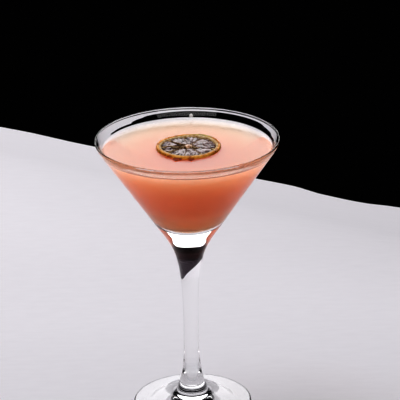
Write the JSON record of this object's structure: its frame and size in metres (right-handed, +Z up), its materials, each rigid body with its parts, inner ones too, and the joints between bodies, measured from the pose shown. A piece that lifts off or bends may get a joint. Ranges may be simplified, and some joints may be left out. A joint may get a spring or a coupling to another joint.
{
  "type": "martini glass",
  "caption": "Stemmed cocktail glass with a wide conical bowl, thick glass base and round foot, filled with a cloudy coral drink on which a dried citrus wheel floats.",
  "frame": {"origin": "on the table, under the middle of the foot", "axes": "+Z up along the stem to the rim; the glass is round about it, and -Y is the side the wheel is seen from in the reference view"},
  "size_m": [0.114, 0.114, 0.181],
  "materials": {
    "clear_glass": "polished",
    "cloudy_drink": "gloss",
    "dried_rind": "satin",
    "dried_pith": "matte",
    "dried_pulp": "satin"
  },
  "bodies": {
    "glass": {"bowl": "clear_glass", "stem": "clear_glass", "foot": "clear_glass", "cocktail": "cloudy_drink"},
    "garnish": {"citrus_rind": "dried_rind", "citrus_pith": "dried_pith", "citrus_pulp_1": "dried_pulp", "citrus_pulp_2": "dried_pulp", "citrus_pulp_3": "dried_pulp", "citrus_pulp_4": "dried_pulp", "citrus_pulp_5": "dried_pulp", "citrus_pulp_6": "dried_pulp", "citrus_pulp_7": "dried_pulp", "citrus_pulp_8": "dried_pulp", "citrus_pulp_9": "dried_pulp"}
  },
  "joints": [
    {"name": "garnish_lift", "type": "slide", "parent": "glass", "child": "garnish", "axis": [0, 0, 1], "range_m": [0, 0.04]}
  ]
}
